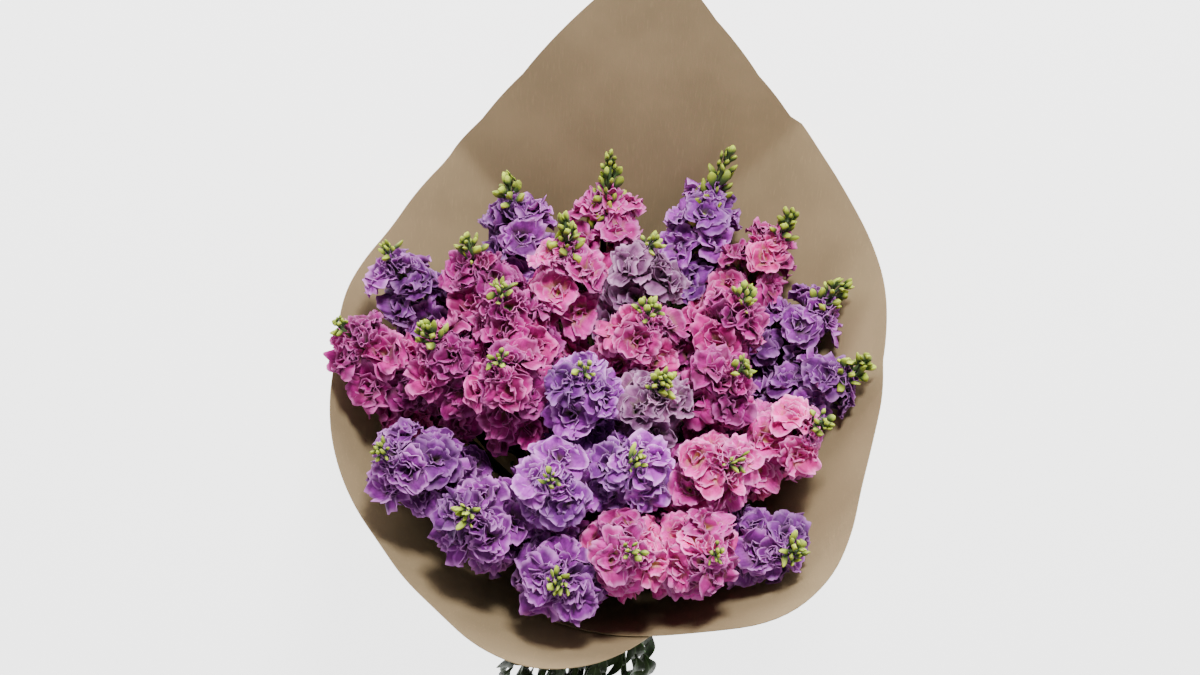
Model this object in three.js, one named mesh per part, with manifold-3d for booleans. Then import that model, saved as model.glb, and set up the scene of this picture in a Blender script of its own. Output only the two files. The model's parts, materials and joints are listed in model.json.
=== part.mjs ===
// A wrapped bunch of cut stock flowers, lying on its back.
// Millimetres. The bunch is modelled upright: x to its right, y to its back, z up its axis from
// the tie at the origin to the flower head. Nested groups then lay it on the ground plane, with
// the head towards -Y, +Z up and the origin at the middle of its footprint.
import * as THREE from 'three';
import Module from 'manifold-3d';

const wasm = await Module();
wasm.setup();
const { Manifold, Mesh } = wasm;

const DEGREES = Math.PI / 180;
const FINEST = 0.02;                  // details of a joined solid that are smaller are merged

// ---------------------------------------------------------------- driving dimensions
const LYING_TILT = 14 * DEGREES;      // the bunch's axis rises this much towards the head

// Each spike: where its tip stands (x, y, height above the tie) and the colour of its florets.
const SPIKES = [
  [-58, 88, 266, 'violet'],
  [4, 114, 264, 'pink'],
  [78, 132, 258, 'lilac'],
  [118, 94, 244, 'rose'],
  [152, 52, 234, 'violet'],
  [-126, 38, 252, 'violet'],
  [-77, 32, 272, 'magenta'],
  [-20, 42, 284, 'pink'],
  [32, 30, 284, 'greyLilac'],
  [162, -8, 234, 'violet'],
  [-54, -8, 280, 'magenta'],
  [-94, -30, 266, 'magenta'],
  [-50, -56, 276, 'magenta'],
  [-148, -14, 242, 'magenta'],
  [32, -18, 284, 'rose'],
  [42, -62, 276, 'greyLilac'],
  [90, 10, 271, 'magenta'],
  [86, -44, 268, 'magenta'],
  [-112, -100, 242, 'violet'],
  [-62, -136, 240, 'violet'],
  [-8, -168, 229, 'violet'],
  [-16, -120, 258, 'lilac'],
  [30, -108, 264, 'lilac'],
  [84, -98, 254, 'pink'],
  [134, -60, 244, 'pink'],
  [76, -146, 234, 'pink'],
  [32, -152, 240, 'pink'],
  [122, -132, 220, 'violet'],
  [-2, -62, 279, 'lilac'],
];
const PETAL_COLOURS = {
  violet: 0x8a5fc0,
  lilac: 0xa886d4,
  greyLilac: 0xa593b8,
  magenta: 0xc2459c,
  rose: 0xc9588f,
  pink: 0xda7fb4,
};
const STEM_COLOUR = 0x6f8a45;
const PAPER_COLOUR = 0xa08a70;
const TWINE_COLOUR = 0xb59a6b;

const STEM = {
  radius: 2.5,
  tipRadius: 1.3,
  sides: 4,
  cutHeight: -205,
  cutSpread: 14,         // the cut ends differ in height by this much
  ringHeights: [-130, -60, 5, 70],
};
// How far out a stem is, as if its height were this much; its slope turns that into a place.
const WAIST = { scale: 34, straightAbove: 136, easing: 4, footSpread: 84, footTurn: -35 * DEGREES };
const SPIRAL = { turn: 137.5 * DEGREES, startSpread: 6 };   // buds and florets follow one spiral
const BLOOM = {
  reach: 24,             // squeezed florets end this far out where their cell has the room
  count: 6,              // florets on a spike
  firstBelowTip: 28,     // the top floret's centre, along the spike
  step: 14,              // along the spike from one floret to the next
  aboveStraight: 10,     // the lowest floret stays this far above the stem's bend
  smallest: 15,          // radius of the top floret
  largest: 22.5,         // radius of the lowest florets
  topFacing: 54 * DEGREES,     // between the spike and the way the top floret faces
  sideFacing: 80 * DEGREES,    // the same for the lowest florets
  topOut: 9,             // from the stem to the top floret's centre
  sideOut: 20,
  heartLift: 0.34,       // height of the raised heart, as a share of the radius
  rimLow: 0.97,          // shares of the radius at which a lobe ends
  rimSpread: 0.14,
  notch: 0.66,           // share of the radius at which two lobes part
  ruffleUp: 3,
  ruffleDown: 1,
  notchDown: 2,
  coreRadius: 7.5,
  coreAbove: 5,          // the core runs on this far above the top floret
  coreBelow: 8,
  rootDepth: 2.9,        // of a floret's root in the core
  rootDrop: 4,           // the root lies this far below its floret
  clearance: 0.45,       // between the core and the stem, at their corners
  holeOver: 13,          // the stem's hole runs on past the core, up through the top florets
  holeUnder: 4,
};
const LOBES = 5;
const BUD = {
  count: 5, length: 12, radius: 4.2, sides: 3, reach: 24,
  smallest: 0.8,         // share of the full size for the bud at the tip
  growth: 0.08,          // added to it for each bud further down
  belly: 0.6,            // share of the length at which a bud is thickest
  turned: 20 * DEGREES,  // turns its corners out of line with those of the stem
  firstBelowTip: 2,
  step: 3.6,
  root: 0.6,             // depth in the stem
  lean: 0.9,
  leanSpread: 0.2,
};
const LEAF = {
  reach: 40,
  thickness: 1.3,
  stalk: 1.1,            // half width at the root
  point: 0.5,            // half width at the point
  widestAt: 0.55,
  fold: 1.6,
  foldFullAt: 4,         // half width from which the blade has its full fold
  root: 0.5,             // depth in the stem
  curl: 0.18,
  spread: 0.34,          // of the arch, as a share of the length
  bend: 2.2,
  minSlope: 0.55,        // only stems that slope more than this carry lower leaves
  groundSide: 0.35,      // and none of those that would lie under the bunch
  outwardAt: -140,       // height at which a stem's outward side is taken
  leastVolume: 70,       // a leaf that its neighbours leave less room is left out
};
const LOWER_LEAVES = [
  { height: -176, heightSpread: 20, turnSpread: 0.5, length: 62, width: 13, salt: 21 },
  { height: -128, heightSpread: 16, turnSpread: 0.8, length: 56, width: 12, salt: 23 },
];
const CELL = {
  gap: 0.2,              // kept by each spike from the plane midway to its neighbour
  soft: 0.35,            // share of the way out at which squeezing starts
  widest: 90,            // further out than any cell reaches
  wallRounds: 6,         // steps of the search for the paper
};

const PAPER = {
  neckRadius: 31.2,
  neckEase: 20,          // height over which the neck eases into the cone
  coneStart: 28,         // radius that the cone would have at the tie
  coneSlope: 0.64,
  flare: 48,             // extra radius of the front lip, at lipHeight
  lipHeight: 188,
  flarePower: 1.2,
  skirtSlope: 0.09,
  skirtHeight: 52,
  skirtSlant: 6,         // the skirt's edge is this much lower on one side than in the middle
  skirtTurn: 40,
  petalGap: 2.1,         // kept by the petals from the paper's outer face
  leafGap: 4,
  belowSkirt: 8,         // leaves this far below the skirt are free of it
  groundGap: 0.8,        // kept by petals and leaves from the paper on the ground
  thickness: 1.05,
  radialThickness: 1.35,
  layerOffset: 2.3,      // the left flap lies this much outside the right one
  layerFrom: -145,       // angles over which it moves out
  layerTo: -175,
  firstAngle: -215,      // angles are turned from the back (0) over the right (90) to the front
  lastAngle: 185,
  angleStep: 10,
  neckRows: [-14, -2, 34],   // fixed heights; above them rows are shared out up to the edge
  rowsAbove: 3,
};
// Height of the sheet's upper edge, by angle: left flap, tall back corner, right flap.
const PAPER_EDGE = [
  [-215, 122], [-195, 158], [-185, 178], [-175, 188], [-165, 183], [-155, 172], [-135, 168],
  [-115, 180], [-95, 193], [-75, 205], [-55, 208], [-35, 227], [-25, 252], [-15, 286], [5, 374],
  [15, 331], [25, 296], [35, 269], [45, 257], [55, 249], [75, 240], [95, 223], [105, 209],
  [115, 202], [135, 206], [145, 199], [155, 172], [165, 158], [175, 147], [185, 134],
];
const TIE = {
  height: -8,
  turns: 3,
  twineRadius: 1.6,
  fullness: 0.98,        // each turn is this much of its width, so that a groove parts two turns
  innerRadius: 36.9,
  backing: 0.4,          // the turns share a band of this thickness
  segments: 18,
  steps: 2,
  turned: 5 * DEGREES,
};

// ---------------------------------------------------------------- small helpers
const clamp01 = (value) => Math.min(1, Math.max(0, value));
const mix = (from, to, share) => from + (to - from) * share;
const smooth = (share) => share * share * (3 - 2 * share);

// A repeatable number from 0 to 1 for any two whole numbers.
function chance(index, salt) {
  const wave = Math.sin(index * 12.9898 + salt * 78.233) * 43758.5453;
  return wave - Math.floor(wave);
}

function solidOf(points, triangles) {
  const vertProperties = new Float32Array(points.flatMap((point) => [point.x, point.y, point.z]));
  return new Manifold(new Mesh({ numProp: 3, vertProperties, triVerts: new Uint32Array(triangles) }));
}

// A closed solid through rings of equally many points; the ends are closed by fans.
function loft(rings) {
  const count = rings[0].length;
  const triangles = [];
  for (let ring = 0; ring + 1 < rings.length; ring += 1) {
    for (let side = 0; side < count; side += 1) {
      const next = (side + 1) % count;
      const low = ring * count;
      const high = low + count;
      triangles.push(low + side, low + next, high + next, low + side, high + next, high + side);
    }
  }
  const last = (rings.length - 1) * count;
  for (let side = 1; side + 1 < count; side += 1) {
    triangles.push(0, side + 1, side, last, last + side, last + side + 1);
  }
  return solidOf(rings.flat(), triangles);
}

// A closed solid of one ring of points between two single points.
function spindle(base, ring, top) {
  const triangles = [];
  const last = ring.length + 1;
  for (let side = 0; side < ring.length; side += 1) {
    const next = (side + 1) % ring.length;
    triangles.push(0, next + 1, side + 1, last, side + 1, next + 1);
  }
  return solidOf([base, ...ring, top], triangles);
}

function ringOf(centre, across, along, radius, sides, start = 0) {
  return Array.from({ length: sides }, (_, side) => {
    const angle = start + (2 * Math.PI * side) / sides;
    return centre.clone()
      .addScaledVector(across, radius * Math.cos(angle))
      .addScaledVector(along, radius * Math.sin(angle));
  });
}

// Two directions square to a third, the first of them lying as near to x as it can.
function crossAxes(direction) {
  const across = new THREE.Vector3(1, 0, 0);
  across.addScaledVector(direction, -across.dot(direction)).normalize();
  return [across, new THREE.Vector3().crossVectors(direction, across)];
}

function geometryOf(solid) {
  const pieces = solid.decompose();
  const whole = pieces.reduce((best, piece) => (piece.volume() > best.volume() ? piece : best));
  const mesh = whole.simplify(FINEST).getMesh();
  const geometry = new THREE.BufferGeometry();
  geometry.setAttribute('position', new THREE.BufferAttribute(mesh.vertProperties.slice(), 3));
  geometry.setIndex(new THREE.BufferAttribute(mesh.triVerts.slice(), 1));
  geometry.computeVertexNormals();
  return geometry;
}

function meshOf(name, geometry, color, roughness) {
  const material = new THREE.MeshStandardMaterial({ color, roughness, metalness: 0 });
  const mesh = new THREE.Mesh(geometry, material);
  mesh.name = name;
  return mesh;
}

// ---------------------------------------------------------------- how the stems run
const slopes = SPIKES.map(([x, y, height]) => new THREE.Vector2(x / height, y / height));
const tips = SPIKES.map(([x, y, height]) => new THREE.Vector3(x, y, height));

// All stems spread from the waist by the same rule, so no two of them cross.
function spreadAt(height) {
  if (height >= WAIST.straightAbove) return height;
  if (height >= 0) return height + WAIST.scale * (1 - height / WAIST.straightAbove) ** WAIST.easing;
  return WAIST.scale * Math.hypot(1, height / WAIST.footSpread);
}

function turnAt(height) {
  return WAIST.footTurn * smooth(clamp01(height / STEM.cutHeight));
}

function stemPoint(index, height) {
  const flat = slopes[index].clone().multiplyScalar(spreadAt(height));
  flat.rotateAround(new THREE.Vector2(), turnAt(height));
  return new THREE.Vector3(flat.x, flat.y, height);
}

// ---------------------------------------------------------------- the paper's form
function paperRadius(height, angle) {
  const front = Math.max(0, -Math.cos(angle)) ** PAPER.flarePower;
  if (height < 0) return PAPER.neckRadius - PAPER.skirtSlope * height;
  const neck = (PAPER.neckRadius - PAPER.coneStart) * Math.exp(-height / PAPER.neckEase);
  const flare = PAPER.flare * front * (height / PAPER.lipHeight) ** 2;
  return PAPER.coneStart + PAPER.coneSlope * height + neck + flare;
}

// The ground, met by the lowest cut end, as the largest y at a height.
let groundStart = 0;
const groundAt = (height) => groundStart + height * Math.tan(LYING_TILT);

function paperEdge(angle) {
  const place = PAPER_EDGE.findIndex(([at]) => at >= angle);
  if (place <= 0) return PAPER_EDGE[0][1];
  const [from, low] = PAPER_EDGE[place - 1];
  const [to, high] = PAPER_EDGE[place];
  return mix(low, high, (angle - from) / (to - from));
}

function paperPoint(angle, height, outside) {
  const turned = angle * DEGREES;
  const layer = smooth(clamp01((angle - PAPER.layerFrom) / (PAPER.layerTo - PAPER.layerFrom)));
  const radius = paperRadius(height, turned) + PAPER.layerOffset * layer
    + (outside ? PAPER.radialThickness : 0);
  const ground = groundAt(height) - (outside ? 0 : PAPER.thickness);
  return new THREE.Vector3(
    radius * Math.sin(turned),
    Math.min(radius * Math.cos(turned), ground),
    height,
  );
}

// ---------------------------------------------------------------- keeping spikes apart
// Moves a point of one spike towards its stem, so that it stays in the spike's own cell between
// its neighbours, inside the paper and above the ground. Points close to the stem stay put.
function confine(index, point, reach, wallGap = PAPER.petalGap) {
  const height = point.z;
  const centre = stemPoint(index, height);
  const away = new THREE.Vector3(point.x - centre.x, point.y - centre.y, 0);
  const distance = away.length();
  if (distance < 1e-6) return point.clone();
  away.divideScalar(distance);
  let room = Infinity;
  for (let other = 0; other < SPIKES.length; other += 1) {
    if (other !== index) {
      const toOther = stemPoint(other, height).sub(centre);
      const apart = toOther.length();
      const facing = away.dot(toOther) / apart;
      if (facing > 0) room = Math.min(room, (apart / 2 - CELL.gap) / facing);
    }
  }
  room = Math.min(room, paperRoom(centre, away, height, wallGap));
  room = Math.min(room, groundRoom(centre, away, height));
  const soft = CELL.soft * room;
  if (distance <= soft) return point.clone();
  if (room >= reach) return centre.addScaledVector(away, Math.min(distance, room));
  const share = Math.min(1, (distance - soft) / (reach - soft));
  return centre.addScaledVector(away, soft + share * (room - soft));
}

function paperRoom(centre, away, height, gap) {
  if (height < -PAPER.skirtHeight - PAPER.belowSkirt) return Infinity;
  let room = CELL.widest;
  for (let round = 0; round < CELL.wallRounds; round += 1) {
    const angle = Math.atan2(centre.x + room * away.x, centre.y + room * away.y);
    const wall = (paperRadius(height, angle) - gap) * Math.cos(PAPER.angleStep * DEGREES / 2);
    const along = centre.x * away.x + centre.y * away.y;
    const rest = wall * wall - (centre.x ** 2 + centre.y ** 2) + along * along;
    room = Math.sqrt(Math.max(rest, 0)) - along;
  }
  return room;
}

function groundRoom(centre, away, height) {
  const wall = groundAt(height) - PAPER.thickness - PAPER.groundGap;
  return away.y > 0 ? Math.max(0, wall - centre.y) / away.y : Infinity;
}

// ---------------------------------------------------------------- the green of a spike
function stemSolid(index) {
  const tip = tips[index];
  const axis = tip.clone().normalize();
  const cut = STEM.cutHeight + STEM.cutSpread * (chance(index, 1) - 0.5);
  const heights = [cut, ...STEM.ringHeights, WAIST.straightAbove, tip.z];
  const centres = heights.map((height) => stemPoint(index, height));
  const rings = centres.map((centre, place) => {
    const before = centres[Math.max(place - 1, 0)];
    const after = centres[Math.min(place + 1, centres.length - 1)];
    const straight = centre.z >= WAIST.straightAbove;
    const direction = straight ? axis : after.clone().sub(before).normalize();
    const [across, along] = crossAxes(direction);
    const radius = place === centres.length - 1 ? STEM.tipRadius : STEM.radius;
    return ringOf(centre, across, along, radius, STEM.sides);
  });
  return loft(rings);
}

const spiralAngle = (index, number) => number * SPIRAL.turn + SPIRAL.startSpread * chance(index, 2);

// The direction square to a spike in which the bud or floret of this number grows.
function spiralAt(index, number) {
  const [across, along] = crossAxes(tips[index].clone().normalize());
  const angle = spiralAngle(index, number);
  return across.multiplyScalar(Math.cos(angle)).addScaledVector(along, Math.sin(angle));
}

// A bud is a three-sided spindle, rooted in the stem; all but the tip's own bud lean outwards.
function budSolid(index, number) {
  const tip = tips[index];
  const axis = tip.clone().normalize();
  const lean = number === 0 ? 0 : BUD.lean + BUD.leanSpread * chance(index, 10 + number);
  const direction = axis.clone().addScaledVector(spiralAt(index, number), lean).normalize();
  const belowTip = BUD.firstBelowTip + BUD.step * Math.max(number - 1, 0);
  const root = tip.clone().addScaledVector(axis, -belowTip);
  const [side, front] = crossAxes(direction);
  const size = BUD.smallest + BUD.growth * number;
  const base = root.clone().addScaledVector(direction, -BUD.root);
  const middle = root.clone().addScaledVector(direction, BUD.belly * BUD.length * size);
  const top = root.clone().addScaledVector(direction, BUD.length * size);
  const belly = ringOf(middle, side, front, BUD.radius * size, BUD.sides, BUD.turned);
  const kept = [...belly, top].map((point) => confine(index, point, BUD.reach));
  return spindle(base, kept.slice(0, -1), kept.at(-1));
}

// A lance-shaped blade, folded along its rib and arched, from its root to its point.
function leafSolid(index, root, out, length, width) {
  const up = stemPoint(index, root.z + 5).sub(stemPoint(index, root.z - 5)).normalize();
  const across = new THREE.Vector3().crossVectors(up, out).normalize();
  const stations = [[0, LEAF.stalk], [LEAF.widestAt, width / 2], [1, LEAF.point]];
  const rings = stations.map(([share, half]) => {
    const lift = length * (share - LEAF.curl * share * share);
    const spread = length * LEAF.spread * Math.sin(share * LEAF.bend) - LEAF.root;
    const centre = root.clone().addScaledVector(up, lift).addScaledVector(out, spread);
    const fold = LEAF.fold * Math.min(1, half / LEAF.foldFullAt);
    const ring = [
      centre.clone().addScaledVector(across, half).addScaledVector(out, fold),
      centre.clone().addScaledVector(out, -LEAF.thickness / 2),
      centre.clone().addScaledVector(across, -half).addScaledVector(out, fold),
      centre.clone().addScaledVector(out, LEAF.thickness / 2),
    ];
    return ring.map((point) => confine(index, point, LEAF.reach, PAPER.leafGap));
  });
  return loft(rings);
}

function leafSolids(index) {
  const foot = stemPoint(index, LEAF.outwardAt);
  const outward = Math.atan2(foot.x, foot.y);
  const isOuter = slopes[index].length() > LEAF.minSlope;
  if (!isOuter || Math.cos(outward) >= LEAF.groundSide) return [];
  return LOWER_LEAVES.map(({ height, heightSpread, turnSpread, length, width, salt }) => {
    const root = stemPoint(index, height + heightSpread * chance(index, salt));
    const angle = outward + turnSpread * (chance(index, salt + 1) - 0.5);
    const out = new THREE.Vector3(Math.sin(angle), Math.cos(angle), 0);
    return leafSolid(index, root, out, length, width);
  }).filter((leaf) => leaf.volume() > LEAF.leastVolume);
}

function greenOf(index) {
  const buds = Array.from({ length: BUD.count }, (_, number) => budSolid(index, number));
  return Manifold.union([stemSolid(index), ...buds, ...leafSolids(index)]);
}

// ---------------------------------------------------------------- the florets of a spike
// A double floret: a root in the core, a ruffled rim of five lobes and a raised heart.
function floretSolid(index, number, belowTip) {
  const tip = tips[index];
  const axis = tip.clone().normalize();
  const age = clamp01(number / (BLOOM.count - 2));
  const out = spiralAt(index, BUD.count + number);
  const radius = mix(BLOOM.smallest, BLOOM.largest, Math.sqrt(age));
  const facing = mix(BLOOM.topFacing, BLOOM.sideFacing, age);
  const normal = axis.clone().multiplyScalar(Math.cos(facing)).addScaledVector(out, Math.sin(facing));
  const side = new THREE.Vector3().crossVectors(axis, out);
  const rise = new THREE.Vector3().crossVectors(normal, side);
  const foot = tip.clone().addScaledVector(axis, -belowTip);
  const centre = foot.clone().addScaledVector(out, mix(BLOOM.topOut, BLOOM.sideOut, age));
  const root = foot.clone().addScaledVector(axis, -BLOOM.rootDrop)
    .addScaledVector(out, BLOOM.coreRadius - BLOOM.rootDepth);
  const place = (share, turn, lift) => centre.clone()
    .addScaledVector(side, radius * share * Math.cos(turn))
    .addScaledVector(rise, radius * share * Math.sin(turn))
    .addScaledVector(normal, lift);
  const points = [root, place(0, 0, radius * BLOOM.heartLift)];
  const salt = 100 + 20 * number;
  for (let lobe = 0; lobe < LOBES; lobe += 1) {
    const turn = (2 * Math.PI * lobe) / LOBES + spiralAngle(index, BUD.count + number);
    const ruffle = mix(-BLOOM.ruffleDown, BLOOM.ruffleUp, chance(index, salt + LOBES + lobe));
    const dip = mix(BLOOM.ruffleDown, -BLOOM.notchDown, chance(index, salt + 2 * LOBES + lobe));
    points.push(place(BLOOM.rimLow + BLOOM.rimSpread * chance(index, salt + lobe), turn, ruffle));
    points.push(place(BLOOM.notch, turn + Math.PI / LOBES, dip));
  }
  const rim = 2 * LOBES;
  const triangles = [];
  for (let side = 0; side < rim; side += 1) {
    const here = 2 + side;
    const next = 2 + ((side + 1) % rim);
    triangles.push(0, next, here, 1, here, next);
  }
  return solidOf(points.map((point) => confine(index, point, BLOOM.reach)), triangles);
}

function floretsOf(index) {
  const tip = tips[index];
  const axis = tip.clone().normalize();
  const [across, along] = crossAxes(axis);
  const lowest = Math.min(
    BLOOM.firstBelowTip + BLOOM.step * (BLOOM.count - 1),
    (tip.z - WAIST.straightAbove) / axis.z - BLOOM.aboveStraight,
  );
  const step = (lowest - BLOOM.firstBelowTip) / (BLOOM.count - 1);
  const bar = (low, high, radius) => loft([low, high].map((belowTip) => ringOf(
    tip.clone().addScaledVector(axis, -belowTip), across, along, radius, STEM.sides)));
  const bottom = lowest + BLOOM.coreBelow;
  const top = BLOOM.firstBelowTip - BLOOM.coreAbove;
  const core = bar(bottom, top, BLOOM.coreRadius);
  const hole = bar(bottom + BLOOM.holeUnder, top - BLOOM.holeOver, STEM.radius + BLOOM.clearance);
  const florets = Array.from({ length: BLOOM.count }, (_, number) => (
    floretSolid(index, number, BLOOM.firstBelowTip + step * number)));
  return Manifold.union([core, ...florets]).subtract(hole);
}

// ---------------------------------------------------------------- the paper
function rowHeights(angle) {
  const slant = PAPER.skirtSlant * Math.cos((angle + PAPER.skirtTurn) * DEGREES);
  const start = PAPER.neckRows.at(-1);
  const above = Array.from({ length: PAPER.rowsAbove }, (_, row) => (
    mix(start, paperEdge(angle), (row + 1) / PAPER.rowsAbove)));
  return [-PAPER.skirtHeight - slant, ...PAPER.neckRows, ...above];
}

function wrapGeometry() {
  const columns = (PAPER.lastAngle - PAPER.firstAngle) / PAPER.angleStep;
  const top = PAPER.neckRows.length + PAPER.rowsAbove;
  const positions = [];
  for (let column = 0; column <= columns; column += 1) {
    const angle = PAPER.firstAngle + PAPER.angleStep * column;
    for (const height of rowHeights(angle)) {
      positions.push(paperPoint(angle, height, false), paperPoint(angle, height, true));
    }
  }
  const at = (column, row, outside) => 2 * (column * (top + 1) + row) + outside;
  const triangles = [];
  const quad = (a, b, c, d) => triangles.push(a, b, c, a, c, d);
  for (let column = 0; column < columns; column += 1) {
    for (let row = 0; row < top; row += 1) {
      const [a, b] = [at(column, row, 0), at(column + 1, row, 0)];
      const [c, d] = [at(column + 1, row + 1, 0), at(column, row + 1, 0)];
      triangles.push(a, b, c, a, c, d, a + 1, c + 1, b + 1, a + 1, d + 1, c + 1);
    }
    quad(at(column, 0, 0), at(column, 0, 1), at(column + 1, 0, 1), at(column + 1, 0, 0));
    quad(at(column, top, 0), at(column + 1, top, 0), at(column + 1, top, 1), at(column, top, 1));
  }
  for (let row = 0; row < top; row += 1) {
    quad(at(0, row, 0), at(0, row + 1, 0), at(0, row + 1, 1), at(0, row, 1));
    quad(at(columns, row, 0), at(columns, row, 1), at(columns, row + 1, 1), at(columns, row + 1, 0));
  }
  return geometryOf(solidOf(positions, triangles));
}

// ---------------------------------------------------------------- the tie
function tieGeometry() {
  const half = TIE.turns * TIE.twineRadius;
  const outline = [new THREE.Vector2(TIE.innerRadius, -half)];
  for (let turn = 0; turn < TIE.turns; turn += 1) {
    const middle = (2 * turn + 1) * TIE.twineRadius - half;
    for (let step = 0; step <= TIE.steps; step += 1) {
      const angle = Math.PI * (step / TIE.steps) - Math.PI / 2;
      outline.push(new THREE.Vector2(
        TIE.innerRadius + TIE.backing + TIE.twineRadius * (1 + Math.cos(angle)),
        middle + TIE.twineRadius * TIE.fullness * Math.sin(angle),
      ));
    }
  }
  outline.push(new THREE.Vector2(TIE.innerRadius, half));
  outline.push(outline[0].clone());
  const geometry = new THREE.LatheGeometry(outline, TIE.segments);
  geometry.rotateX(Math.PI / 2);
  geometry.rotateZ(TIE.turned);
  geometry.translate(0, 0, TIE.height);
  return geometry;
}

// ---------------------------------------------------------------- the bunch
// The lowest cut end sets the ground that the back of the paper is pressed flat on.
function groundUnder(solids) {
  let largest = -Infinity;
  for (const solid of solids) {
    const { vertProperties } = solid.getMesh();
    for (let at = 0; at < vertProperties.length; at += 3) {
      if (vertProperties[at + 2] < 0) {
        const start = vertProperties[at + 1] - vertProperties[at + 2] * Math.tan(LYING_TILT);
        largest = Math.max(largest, start);
      }
    }
  }
  return largest;
}

groundStart = Infinity;
groundStart = groundUnder(SPIKES.map((_, index) => stemSolid(index)));

const upright = new THREE.Group();
upright.rotation.z = Math.PI;
SPIKES.forEach(([, , , colour], index) => {
  const number = String(index + 1).padStart(2, '0');
  const green = geometryOf(greenOf(index));
  const florets = geometryOf(floretsOf(index));
  upright.add(meshOf(`stem_${number}`, green, STEM_COLOUR, 0.75));
  upright.add(meshOf(`florets_${number}`, florets, PETAL_COLOURS[colour], 0.6));
});
upright.add(meshOf('wrap', wrapGeometry(), PAPER_COLOUR, 0.9));
upright.add(meshOf('neck_tie', tieGeometry(), TWINE_COLOUR, 0.9));

const lying = new THREE.Group();
lying.rotation.x = Math.PI / 2 - LYING_TILT;
lying.add(upright);

const bouquet = new THREE.Group();
bouquet.add(lying);
bouquet.updateMatrixWorld(true);
const bounds = new THREE.Box3().setFromObject(bouquet, true);
const middle = bounds.getCenter(new THREE.Vector3());
lying.position.set(-middle.x, -middle.y, -bounds.min.z);
bouquet.updateMatrixWorld(true);

export default bouquet;
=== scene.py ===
"""A wrapped bunch of cut stock flowers, lying on its back: petals, greens, paper and twine."""

import json
import math

import bpy
import numpy as np
from bpy.props import FloatProperty, FloatVectorProperty, IntProperty, PointerProperty
from mathutils import Matrix, Vector

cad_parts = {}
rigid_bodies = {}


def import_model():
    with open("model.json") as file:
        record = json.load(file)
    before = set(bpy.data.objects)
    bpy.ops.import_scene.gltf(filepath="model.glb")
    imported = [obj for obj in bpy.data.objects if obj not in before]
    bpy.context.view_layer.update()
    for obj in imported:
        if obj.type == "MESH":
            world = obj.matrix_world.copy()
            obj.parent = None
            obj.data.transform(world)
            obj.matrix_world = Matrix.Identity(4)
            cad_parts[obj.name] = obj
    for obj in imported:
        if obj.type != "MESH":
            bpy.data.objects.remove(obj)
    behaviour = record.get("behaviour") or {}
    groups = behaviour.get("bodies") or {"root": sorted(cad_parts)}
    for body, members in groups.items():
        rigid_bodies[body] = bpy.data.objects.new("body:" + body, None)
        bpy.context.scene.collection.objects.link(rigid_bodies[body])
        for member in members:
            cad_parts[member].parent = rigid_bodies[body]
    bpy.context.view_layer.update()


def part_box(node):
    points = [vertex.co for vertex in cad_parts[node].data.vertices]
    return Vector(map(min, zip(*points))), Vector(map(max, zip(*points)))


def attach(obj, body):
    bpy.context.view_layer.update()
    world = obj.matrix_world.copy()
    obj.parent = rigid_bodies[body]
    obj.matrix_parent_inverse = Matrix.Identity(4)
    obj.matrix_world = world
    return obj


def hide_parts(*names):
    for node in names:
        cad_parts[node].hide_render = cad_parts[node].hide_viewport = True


bl_info = {
    "name": "Wrapped stock bouquet",
    "version": (1, 0, 0),
    "blender": (4, 5, 0),
    "location": "3D View > Sidebar > Bouquet",
    "description": "Builds the florets, buds, leaves, paper and twine of a wrapped bunch of stock",
    "category": "Object",
}

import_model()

# ---------- the bunch, as in the part
# Lengths are in millimetres, in the bunch's own upright frame: x to its right, y to its back and
# z up its axis from the tie. lay() takes them to the part's frame, in metres.
# Each spike: where its tip stands, the colour of its florets, and how much bare green it shows
# above them, from 0 to 18.
SPIKES = [
    (-58, 88, 266, "violet", 6),
    (4, 114, 264, "pink", 16),
    (78, 132, 258, "lilac", 18),
    (118, 94, 244, "rose", 6),
    (152, 52, 234, "violet", 9),
    (-126, 38, 252, "violet", 1),
    (-77, 32, 272, "magenta", 5),
    (-20, 42, 284, "pink", 11),
    (32, 30, 284, "grey_lilac", 1),
    (162, -8, 234, "violet", 8),
    (-54, -8, 280, "magenta", 3),
    (-94, -30, 266, "magenta", 6),
    (-50, -56, 276, "magenta", 0),
    (-148, -14, 242, "magenta", 2),
    (32, -18, 284, "rose", 3),
    (42, -62, 276, "grey_lilac", 6),
    (90, 10, 271, "magenta", 5),
    (86, -44, 268, "magenta", 1),
    (-112, -100, 242, "violet", 2),
    (-62, -136, 240, "violet", 2),
    (-8, -168, 229, "violet", 3),
    (-16, -120, 258, "lilac", 0),
    (30, -108, 264, "lilac", 1),
    (84, -98, 254, "pink", 0),
    (134, -60, 244, "pink", 2),
    (76, -146, 234, "pink", 0),
    (32, -152, 240, "pink", 0),
    (122, -132, 220, "violet", 4),
    (-2, -62, 279, "lilac", 0),
]
TILT = math.radians(14)  # how far the bunch leans back from level as it lies
CUT_HEIGHT, CUT_SPREAD = -205, 14  # the cut ends, and by how much they differ
# The stems run straight to the tie from this height up, then keep apart at the waist and part
# again below it, where they also turn round the axis.
WAIST, STRAIGHT_ABOVE, FOOT_SPREAD, FOOT_TURN = 34, 136, 84, math.radians(-35)
GOLDEN = math.radians(137.5)  # from one floret, bud or leaf to the next

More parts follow.
